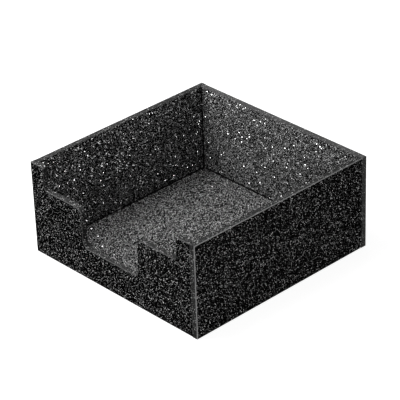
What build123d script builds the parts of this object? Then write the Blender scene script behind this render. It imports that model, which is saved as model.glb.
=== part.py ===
import os

from build123d import *

# Open tray for a pad of square sticky notes, made of five laser-cut acrylic panels bonded edge to face.
# Millimetres, +Z up. The origin is the centre of the underside, and the stepped front wall faces -Y.

# Space for the pad
note_side = 76.0  # one side of a standard square note
finger_room = 4.0  # gap between the pad and each wall
well_depth = 37.0  # from the floor up to the rim

# Acrylic sheet
wall_sheet = 2.5
base_sheet = 2.0
arris = 0.3  # polished round along every edge that stays free

# Stepped cut-out of the front wall
post_width = 7.2  # full-height post at each end of the panel
notch_depth = 9.7  # from the rim down to the two shelves
slot_width = 30.5  # finger slot between the shelves
slot_depth = 16.1  # from the shelves down to the lip under the slot
post_radius = 1.0  # top inner corner of a post
step_radius = 1.5  # inside corner where a post meets its shelf
shoulder_radius = 3.2  # corner where a shelf turns down into the slot
slot_radius = 3.0  # inside corner at the foot of the slot

# Sizes that follow
well_side = note_side + 2 * finger_room
outer_side = well_side + 2 * wall_sheet
wall_height = base_sheet + well_depth
wall_length = outer_side - wall_sheet
shelf_height = wall_height - notch_depth
lip_height = shelf_height - slot_depth
notch_width = wall_length - 2 * post_width

# The walls chase each other round the tray: each starts flush with one outer face and stops against
# the next wall, so its middle lies half a sheet off the middle of its side.
outer_reach = outer_side / 2
middle_shift = wall_sheet / 2
front_face = Plane((-middle_shift, -outer_reach, 0), x_dir=(1, 0, 0), z_dir=(0, -1, 0))
right_face = Plane((outer_reach, -middle_shift, 0), x_dir=(0, 1, 0), z_dir=(1, 0, 0))
back_face = Plane((middle_shift, outer_reach, 0), x_dir=(-1, 0, 0), z_dir=(0, 1, 0))
left_face = Plane((-outer_reach, middle_shift, 0), x_dir=(0, -1, 0), z_dir=(-1, 0, 0))

# Radius at each corner of the right half of the cut-out, from the rim down to the lip
cut_corners = [
    (notch_width / 2, wall_height, post_radius),
    (notch_width / 2, shelf_height, step_radius),
    (slot_width / 2, shelf_height, shoulder_radius),
    (slot_width / 2, lip_height, slot_radius),
]


def free_edges(panel, outer_face):
    """Edges of a wall's two broad faces, less those that a neighbour closes in a bonded joint."""
    along = Axis(outer_face.origin, outer_face.x_dir)
    outward = Axis(outer_face.origin, outer_face.z_dir)
    inner_broad, outer_broad = panel.faces().sort_by(SortBy.AREA)[-2:].sort_by(outward)
    flush_end = panel.faces().sort_by(along)[0]
    butted_end = panel.faces().sort_by(along)[-1]
    foot = panel.faces().sort_by(Axis.Z)[0]
    outer_joints = butted_end.edges()
    inner_joints = butted_end.edges() + flush_end.edges() + foot.edges()
    outer_free = outer_broad.edges().filter_by(lambda edge: edge not in outer_joints)
    inner_free = inner_broad.edges().filter_by(lambda edge: edge not in inner_joints)
    return outer_free + inner_free


def save(panel, name):
    panel.part.label = name
    export_step(panel.part, f"parts/{name}.step")


os.makedirs("parts", exist_ok=True)

# Floor, bonded inside the four walls and flush with their lower edges
with BuildPart() as base_panel:
    with BuildSketch(Plane.XY):
        Rectangle(well_side, well_side)
    extrude(amount=base_sheet)
save(base_panel, "base_panel")

# Front wall: a wide notch at pad height, and a finger slot below it to pinch the top note
with BuildPart() as front_panel:
    with BuildSketch(front_face) as front_outline:
        Rectangle(wall_length, wall_height, align=(Align.CENTER, Align.MIN))
        with Locations((0, shelf_height)):
            Rectangle(notch_width, notch_depth, align=(Align.CENTER, Align.MIN), mode=Mode.SUBTRACT)
        with Locations((0, lip_height)):
            Rectangle(slot_width, slot_depth, align=(Align.CENTER, Align.MIN), mode=Mode.SUBTRACT)
        for corner_x, corner_z, radius in cut_corners:
            for side in (-1, 1):
                corner = front_outline.vertices().sort_by_distance((side * corner_x, corner_z))[0]
                fillet(corner, radius)
    extrude(amount=-wall_sheet)
    fillet(free_edges(front_panel, front_face), arris)
save(front_panel, "front_panel")

# The three plain walls
plain_walls = {"right_panel": right_face, "back_panel": back_face, "left_panel": left_face}
for wall_name, outer_face in plain_walls.items():
    with BuildPart() as plain_wall:
        with BuildSketch(outer_face):
            Rectangle(wall_length, wall_height, align=(Align.CENTER, Align.MIN))
        extrude(amount=-wall_sheet)
        fillet(free_edges(plain_wall, outer_face), arris)
    save(plain_wall, wall_name)
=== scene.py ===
import math

import bpy
from mathutils import Matrix, Vector


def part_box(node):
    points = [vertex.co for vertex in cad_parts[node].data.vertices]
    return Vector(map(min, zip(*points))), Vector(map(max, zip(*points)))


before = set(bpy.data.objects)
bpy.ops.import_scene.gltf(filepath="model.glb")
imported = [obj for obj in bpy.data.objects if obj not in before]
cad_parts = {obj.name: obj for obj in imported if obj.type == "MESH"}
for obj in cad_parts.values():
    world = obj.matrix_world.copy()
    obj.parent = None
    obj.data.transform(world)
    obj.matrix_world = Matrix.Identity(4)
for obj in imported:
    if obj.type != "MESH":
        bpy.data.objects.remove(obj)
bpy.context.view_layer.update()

perMetre = 1000  # millimetres
black = (0, 0, 0, 1)
white = (1, 1, 1, 1)


def linearColour(hexValue):
    channels = [int(hexValue[i:i + 2], 16) / 255 for i in (1, 3, 5)]
    return [c / 12.92 if c <= 0.04045 else ((c + 0.055) / 1.055) ** 2.4 for c in channels] + [1.0]


# On a Mix node, sockets 2 and 3 are A and B as numbers, 4 and 5 as vectors, 6 and 7 as colours.
# Its outputs 0, 1 and 2 are the result in the same order.
def addNode(tree, kind, inputs, **settings):
    node = tree.nodes.new(kind)
    for name, value in settings.items():
        setattr(node, name, value)
    for socket, value in inputs.items():
        if isinstance(value, bpy.types.NodeSocket):
            tree.links.new(value, node.inputs[socket])
        else:
            node.inputs[socket].default_value = value
    return node


def newMaterial(name):
    material = bpy.data.materials.new(name)
    material.use_nodes = True
    material.node_tree.nodes.clear()
    return material, material.node_tree


# 1 for a ray that shows the surface itself: from the camera, in a mirror or through something clear
def seenDirectly(tree):
    rays = addNode(tree, "ShaderNodeLightPath", {}).outputs
    seen = addNode(tree, "ShaderNodeMath", {0: rays["Is Camera Ray"], 1: rays["Is Glossy Ray"]},
                   operation="MAXIMUM").outputs[0]
    return addNode(tree, "ShaderNodeMath", {0: seen, 1: rays["Is Transmission Ray"]},
                   operation="MAXIMUM").outputs[0]


# Black glitter acrylic: cast PMMA sheet, dark right through, with crushed silver flake cast into it.
# The eye gets a near-black sheet full of fine grey specks, some of them bright, and dark laser-cut edges.
# Painted light is drawn on it: a lighter inner side, which is a painted sheen for the light that falls inside
# the tray; edge tones set lighter or darker per panel as the light falls; a painted highlight along the outer
# arris; and painted shade, a dark line, in the inner seams.
# Real flakes are too fine to show in the render, so all of them are drawn as coarse as they need to be.
glitter = {
    "outerSpacing": 0.4,  # mm between the middles of the small flakes on the outer side
    "outerReach": 0.286,  # of that spacing, how far a small flake reaches from its middle
    "fade": 2.7,  # the higher, the more of the small flakes are dim
    "flake": "#f3f3f3",
    "outerBrightSpacing": 0.5,  # mm between the middles of the cells that may hold a large bright flake
    "innerBrightSpacing": 0.44,
    "outerBrightReach": 0.33,  # of that spacing, how far a bright flake reaches from its middle
    "innerBrightReach": 0.39,
    "outerShare": 0.13,  # of those cells, how many hold one on the outer side
    "bright": "#f5f5f5",
    "turn": (0.62, 0.87, 0.35),  # of the flake pattern, in radians, so that its grid runs along no face
    "tilt": 0.6,  # how far the small flakes lean out of the sheet
    "brightTilt": 1.6,
    "outerMetal": 0.2,  # how far a bright flake is a mirror
    "innerMetal": 0.7,
    "flakeRoughness": 0.2,
    "outerSheet": "#070707",
    # painted sheen: the inner face's sheet is painted lighter than the outer one, for the light that falls
    # inside the tray
    "innerPaintedSheen": "#0e0e0e",
    "faceRoughness": 0.4,
    "edgeRoughness": 0.3,
    "ior": 1.49,
    "sheetGloss": 0.0,  # off: the gloss that shows is the flakes' own
    "arrisCover": 0.8,  # how much of the flakes the painted highlight on the outer arris hides
    # painted shade in the inner seams: a dark line where the panels meet
    "seamShade": "#0b0b0b",
    "seamShadeLine": (0.25, 0.6),  # mm from the seam, where the painted shade is still solid and where it has faded out
}
broadFace = 0.99  # a surface this square to the sheet is one of its two broad faces
arrisTurn = 0.1  # one that is turned out by more than this, and isn't the outer face, is the outer arris


def glitterAcrylic(name, own, wellHalf, floorTop):
    material, tree = newMaterial(name)
    inward = own["inward"]
    place = addNode(tree, "ShaderNodeTexCoord", {}).outputs["Object"]
    surface = addNode(tree, "ShaderNodeNewGeometry", {}).outputs

    # which part of the sheet this is: the inner face, the outer face, either of them, or the outer arris
    across = addNode(tree, "ShaderNodeVectorMath", {0: surface["True Normal"], 1: inward},
                     operation="DOT_PRODUCT").outputs["Value"]
    onInner = addNode(tree, "ShaderNodeMath", {0: across, 1: broadFace}, operation="GREATER_THAN").outputs[0]
    onOuter = addNode(tree, "ShaderNodeMath", {0: across, 1: -broadFace}, operation="LESS_THAN").outputs[0]
    onFace = addNode(tree, "ShaderNodeMath", {0: onInner, 1: onOuter}, operation="MAXIMUM").outputs[0]
    outwards = addNode(tree, "ShaderNodeMath", {0: across, 1: -arrisTurn}, operation="LESS_THAN").outputs[0]
    onArris = addNode(tree, "ShaderNodeMath", {0: outwards, 1: onOuter}, operation="SUBTRACT").outputs[0]

    # what the outer side and the inner side each have of their own. The inner side's flake settings come per
    # panel and are painted light: one sheet, with flakes set denser or sparser so that each inner face comes
    # out lighter or darker than the lamps alone make it
    sides = {
        "grain": (perMetre / glitter["outerSpacing"], perMetre / own["spacing"]),
        "size": (glitter["outerReach"], own["reach"]),
        "brightGrain": (perMetre / glitter["outerBrightSpacing"], perMetre / glitter["innerBrightSpacing"]),
        "brightSize": (glitter["outerBrightReach"], glitter["innerBrightReach"]),
        "brightShare": (glitter["outerShare"], own["brightShare"]),
        "metal": (glitter["outerMetal"], glitter["innerMetal"]),
    }
    here = {}
    for key, (outer, inner) in sides.items():
        here[key] = addNode(tree, "ShaderNodeMix", {"Factor": onInner, 2: outer, 3: inner}).outputs[0]

    # small flakes: a disc about the middle of each cell, with a tone of its own
    turned = addNode(tree, "ShaderNodeMapping", {"Vector": place, "Rotation": glitter["turn"]}).outputs[0]
    fine = addNode(tree, "ShaderNodeTexVoronoi", {"Vector": turned, "Scale": here["grain"]}).outputs
    draw = addNode(tree, "ShaderNodeSeparateColor", {"Color": fine["Color"]}).outputs["Red"]
    dimmed = addNode(tree, "ShaderNodeMath", {0: draw, 1: glitter["fade"]}, operation="POWER").outputs[0]
    isSmall = addNode(tree, "ShaderNodeMath", {0: fine["Distance"], 1: here["size"]},
                      operation="LESS_THAN").outputs[0]
    tone = addNode(tree, "ShaderNodeMath", {0: dimmed, 1: isSmall}, operation="MULTIPLY").outputs[0]
    small = addNode(tree, "ShaderNodeMix", {"Factor": tone, 6: black, 7: linearColour(glitter["flake"])},
                    data_type="RGBA").outputs[2]

    # large bright flakes, in some of the cells of a coarser pattern
    coarse = addNode(tree, "ShaderNodeTexVoronoi", {"Vector": turned, "Scale": here["brightGrain"]}).outputs
    coarseDraw = addNode(tree, "ShaderNodeSeparateColor", {"Color": coarse["Color"]}).outputs["Red"]
    chosen = addNode(tree, "ShaderNodeMath", {0: coarseDraw, 1: here["brightShare"]},
                     operation="LESS_THAN").outputs[0]
    within = addNode(tree, "ShaderNodeMath", {0: coarse["Distance"], 1: here["brightSize"]},
                     operation="LESS_THAN").outputs[0]
    isBright = addNode(tree, "ShaderNodeMath", {0: chosen, 1: within}, operation="MULTIPLY").outputs[0]

    # painted shade where the inner side meets its neighbours, a dark line along each seam: how far off the
    # nearest seam is on each axis. No seam lies the way the panel faces, so a metre is added there.
    away = [abs(part) for part in inward]
    seams = (wellHalf + away[0], wellHalf + away[1], away[2] - floorTop)
    offMiddle = addNode(tree, "ShaderNodeVectorMath", {0: place}, operation="ABSOLUTE").outputs[0]
    toSeams = addNode(tree, "ShaderNodeVectorMath", {0: offMiddle, 1: (-1, -1, 1), 2: seams},
                      operation="MULTIPLY_ADD").outputs[0]
    toSeam = addNode(tree, "ShaderNodeSeparateXYZ", {0: toSeams}).outputs
    nearest = addNode(tree, "ShaderNodeMath", {0: toSeam["X"], 1: toSeam["Y"]},
                      operation="MINIMUM").outputs[0]
    nearest = addNode(tree, "ShaderNodeMath", {0: nearest, 1: toSeam["Z"]}, operation="MINIMUM").outputs[0]
    solid, faded = (mm / perMetre for mm in glitter["seamShadeLine"])
    seamShadeAmount = addNode(tree, "ShaderNodeMapRange", {"Value": nearest, "From Min": faded,
                  "From Max": solid}).outputs[0]
    isSeamShade = addNode(tree, "ShaderNodeMath", {0: seamShadeAmount, 1: onInner}, operation="MULTIPLY").outputs[0]

    # colours, from the sheet outwards, with painted light in the edge tones, the lighter inner sheet, the
    # arris line and the seam shade
    facingUp = addNode(tree, "ShaderNodeSeparateXYZ", {0: surface["True Normal"]}).outputs["Z"]
    # edge tones: the cut edge's own dark grey, painted lighter or darker per panel as the light falls, with
    # the up-facing rim and the standing end each set apart
    edge = addNode(tree, "ShaderNodeMix", {"Factor": facingUp, 6: linearColour(own["end"]),
                   7: linearColour(own["rim"])}, data_type="RGBA").outputs[2]
    # painted highlight along the outer arris, set per panel and per direction
    line = addNode(tree, "ShaderNodeMix", {"Factor": facingUp, 6: linearColour(own["endLine"]),
                   7: linearColour(own["rimLine"])}, data_type="RGBA").outputs[2]
    sheet = addNode(tree, "ShaderNodeMix", {"Factor": onOuter, 6: edge,
                    7: linearColour(glitter["outerSheet"])}, data_type="RGBA").outputs[2]
    # painted sheen: the inner face gets a lighter sheet tone than the outer one
    sheet = addNode(tree, "ShaderNodeMix", {"Factor": onInner, 6: sheet,
                    7: linearColour(glitter["innerPaintedSheen"])}, data_type="RGBA").outputs[2]
    flakes = addNode(tree, "ShaderNodeMix", {"Factor": isBright, 6: small,
                     7: linearColour(glitter["bright"])}, data_type="RGBA").outputs[2]
    clear = addNode(tree, "ShaderNodeMix", {"Factor": onFace, 2: own["clarity"], 3: 1.0}).outputs[0]
    specks = addNode(tree, "ShaderNodeMix", {"Factor": clear, 6: sheet, 7: flakes}, data_type="RGBA",
                     blend_type="SCREEN").outputs[2]
    # painted shade along the inner seams
    seamed = addNode(tree, "ShaderNodeMix", {"Factor": isSeamShade, 6: specks,
                     7: linearColour(glitter["seamShade"])}, data_type="RGBA").outputs[2]
    # the painted arris highlight hides most of the flakes there
    cover = addNode(tree, "ShaderNodeMath", {0: onArris, 1: glitter["arrisCover"]},
                    operation="MULTIPLY").outputs[0]
    colour = addNode(tree, "ShaderNodeMix", {"Factor": cover, 6: seamed, 7: line},
                     data_type="RGBA").outputs[2]

    # finish: the bright flakes are part mirrors
    mirror = addNode(tree, "ShaderNodeMath", {0: isBright, 1: onFace}, operation="MULTIPLY").outputs[0]
    metallic = addNode(tree, "ShaderNodeMath", {0: mirror, 1: here["metal"]}, operation="MULTIPLY").outputs[0]
    sheetRoughness = addNode(tree, "ShaderNodeMix", {"Factor": onFace, 2: glitter["edgeRoughness"],
                             3: glitter["faceRoughness"]}).outputs[0]
    roughness = addNode(tree, "ShaderNodeMix", {"Factor": mirror, 2: sheetRoughness,
                        3: glitter["flakeRoughness"]}).outputs[0]

    # lean: each flake its own way, the small ones a little and the bright ones a lot
    noiseMiddle = (0.5, 0.5, 0.5)  # the noise runs from 0 to 1 on each axis
    middle = addNode(tree, "ShaderNodeMix", {"Factor": isBright, 4: fine["Position"], 5: coarse["Position"]},
                     data_type="VECTOR").outputs[1]
    anyWay = addNode(tree, "ShaderNodeTexWhiteNoise", {"Vector": middle}).outputs["Color"]
    lean = addNode(tree, "ShaderNodeVectorMath", {0: anyWay, 1: noiseMiddle}, operation="SUBTRACT").outputs[0]
    tilt = addNode(tree, "ShaderNodeMix", {"Factor": isBright, 2: glitter["tilt"],
                   3: glitter["brightTilt"]}).outputs[0]
    leanAmount = addNode(tree, "ShaderNodeMath", {0: onFace, 1: tilt}, operation="MULTIPLY").outputs[0]
    leaned = addNode(tree, "ShaderNodeVectorMath", {0: lean, "Scale": leanAmount},
                     operation="SCALE").outputs[0]
    tilted = addNode(tree, "ShaderNodeVectorMath", {0: surface["Normal"], 1: leaned},
                     operation="ADD").outputs[0]
    normal = addNode(tree, "ShaderNodeVectorMath", {0: tilted}, operation="NORMALIZE").outputs[0]

    shader = addNode(tree, "ShaderNodeBsdfPrincipled", {"Base Color": colour, "Roughness": roughness,
                     "Metallic": metallic, "Normal": normal, "IOR": glitter["ior"],
                     "Specular IOR Level": glitter["sheetGloss"]})
    addNode(tree, "ShaderNodeOutputMaterial", {"Surface": shader.outputs[0]})
    return material


# inward: the way the inner face looks. rim and end: the cut edges, facing up and standing, and clarity: how
# clearly the flakes show there. The rim and end tones are the cut edge's own dark grey with painted light:
# set lighter or darker per panel as the light falls on each edge. rimLine and endLine: a painted highlight
# along the outer arris of those edges. On the inner face, spacing: mm between the small flakes, reach: how
# much of it one reaches from its middle, and brightShare: how many of the coarser cells hold a bright flake.
# These three are painted light too: the panels are one sheet, and each inner face's flakes are set denser or
# sparser so that it comes out lighter or darker than the lamps alone make it.
panels = {
    "base_panel": {"inward": (0, 0, 1), "rim": "#2b2b2b", "end": "#2b2b2b", "clarity": 0.45,
                   "rimLine": "#565656", "endLine": "#565656",
                   "spacing": 0.34, "reach": 0.458, "brightShare": 0.04},
    "front_panel": {"inward": (0, 1, 0), "rim": "#2c2c2c", "end": "#212121", "clarity": 0.7,
                    "rimLine": "#5a5a5a", "endLine": "#424242",
                    "spacing": 0.3, "reach": 0.42, "brightShare": 0.42},
    "right_panel": {"inward": (-1, 0, 0), "rim": "#2c2c2c", "end": "#303030", "clarity": 0.7,
                    "rimLine": "#7a7a7a", "endLine": "#a0a0a0",
                    "spacing": 0.3, "reach": 0.42, "brightShare": 0.42},
    "back_panel": {"inward": (0, -1, 0), "rim": "#444444", "end": "#404040", "clarity": 0.45,
                   "rimLine": "#7a7a7a", "endLine": "#7a7a7a",
                   "spacing": 0.3, "reach": 0.388, "brightShare": 0.56},
    "left_panel": {"inward": (1, 0, 0), "rim": "#2e2e2e", "end": "#303030", "clarity": 0.45,
                   "rimLine": "#606060", "endLine": "#666666",
                   "spacing": 0.3, "reach": 0.31, "brightShare": 0.46},
}
wellHalf, _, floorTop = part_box("base_panel")[1]  # the base fills the well from wall to wall
for panelName, own in panels.items():
    acrylic = glitterAcrylic("black_glitter_acrylic_" + panelName, own, wellHalf, floorTop)
    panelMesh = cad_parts[panelName].data
    panelMesh.materials.clear()
    panelMesh.materials.append(acrylic)
print("panels finished:", len(panels))

# White paper sweep: matt, lit like the rest, but white to the eye apart from the tray's soft shadow
sweep = {
    "reach": 3.0,  # m from the middle to each side
    "drop": 0.0002,  # m below the tray, so that the two share no plane
    "paper": "#b4b4b4",
    "glow": 0.86,  # added where the paper itself is seen
}
bpy.ops.object.select_all(action="DESELECT")
bpy.ops.mesh.primitive_plane_add(size=2 * sweep["reach"], location=(0, 0, -sweep["drop"]))
paperSweep = bpy.context.object
paperSweep.name = "paper_sweep"
bpy.ops.object.transform_apply(location=True, rotation=False, scale=False)
paper, tree = newMaterial("white_paper")
glowHere = addNode(tree, "ShaderNodeMath", {0: seenDirectly(tree), 1: sweep["glow"]}, operation="MULTIPLY")
diffuse = addNode(tree, "ShaderNodeBsdfDiffuse", {"Color": linearColour(sweep["paper"])})
glow = addNode(tree, "ShaderNodeEmission", {"Color": white, "Strength": glowHere.outputs[0]})
both = addNode(tree, "ShaderNodeAddShader", {0: diffuse.outputs[0], 1: glow.outputs[0]})
addNode(tree, "ShaderNodeOutputMaterial", {"Surface": both.outputs[0]})
paperSweep.data.materials.append(paper)

# World: a dim grey room that shows as white behind the sweep
room = {"level": 0.25, "seenLevel": 1.0}
world = bpy.data.worlds.new("studio_room")
bpy.context.scene.world = world
world.use_nodes = True
tree = world.node_tree
tree.nodes.clear()
strength = addNode(tree, "ShaderNodeMix", {"Factor": seenDirectly(tree), 2: room["level"],
                   3: room["seenLevel"]})
background = addNode(tree, "ShaderNodeBackground", {"Color": white, "Strength": strength.outputs[0]})
addNode(tree, "ShaderNodeOutputWorld", {"Surface": background.outputs[0]})

# Two softboxes: a high one at the front left, which leaves the left wall in its own shade, and a weaker
# low one at the right, which comes over the right wall onto the left one
softboxes = {
    "key_softbox": {"place": (-0.08, -0.08, 0.222), "aim": (0.0, 0.0, 0.01), "side": 0.16, "power": 0.85},
    "fill_softbox": {"place": (0.32, -0.17, 0.14), "aim": (0.0, 0.0, 0.02), "side": 0.14, "power": 0.29},
}
for lampName, box in softboxes.items():
    lamp = bpy.data.lights.new(lampName, "AREA")
    lamp.shape = "SQUARE"
    lamp.size = box["side"]
    lamp.energy = box["power"]
    lampObject = bpy.data.objects.new(lampName, lamp)
    bpy.context.scene.collection.objects.link(lampObject)
    lampObject.location = box["place"]
    towards = Vector(box["aim"]) - Vector(box["place"])
    lampObject.rotation_euler = towards.to_track_quat("-Z", "Y").to_euler()
    lampObject.visible_camera = False
print("floor, room and softboxes ready")

# Camera: a long lens from the front right corner, looking down at thirty degrees
view = {
    "azimuth": 47.24,  # degrees, from the front towards the right
    "elevation": 30.13,
    "roll": -2.06,
    "distance": 0.8096,  # m
    "aimRight": -0.00047,  # m from the origin to the middle of the picture, along the picture's own axes
    "aimUp": 0.01833,
    "lens": 190.3,  # mm
    "sensor": 36,
    "nearClip": 0.01,  # m
}
azimuth, elevation, roll = (math.radians(view[key]) for key in ("azimuth", "elevation", "roll"))
backward = Vector((math.sin(azimuth) * math.cos(elevation), -math.cos(azimuth) * math.cos(elevation),
                   math.sin(elevation)))
levelRight = Vector((0, 0, 1)).cross(backward).normalized()
levelUp = backward.cross(levelRight)
right = math.cos(roll) * levelRight + math.sin(roll) * levelUp
up = math.cos(roll) * levelUp - math.sin(roll) * levelRight
camera = bpy.data.cameras.new("camera")
camera.sensor_width = view["sensor"]
camera.lens = view["lens"]
camera.clip_start = view["nearClip"]
cameraObject = bpy.data.objects.new("camera", camera)
bpy.context.scene.collection.objects.link(cameraObject)
stand = backward * view["distance"] + right * view["aimRight"] + up * view["aimUp"]
cameraObject.matrix_world = Matrix.Translation(stand) @ Matrix((right, up, backward)).transposed().to_4x4()
bpy.context.scene.camera = cameraObject
bpy.context.scene.view_settings.view_transform = "Standard"
print("camera set")
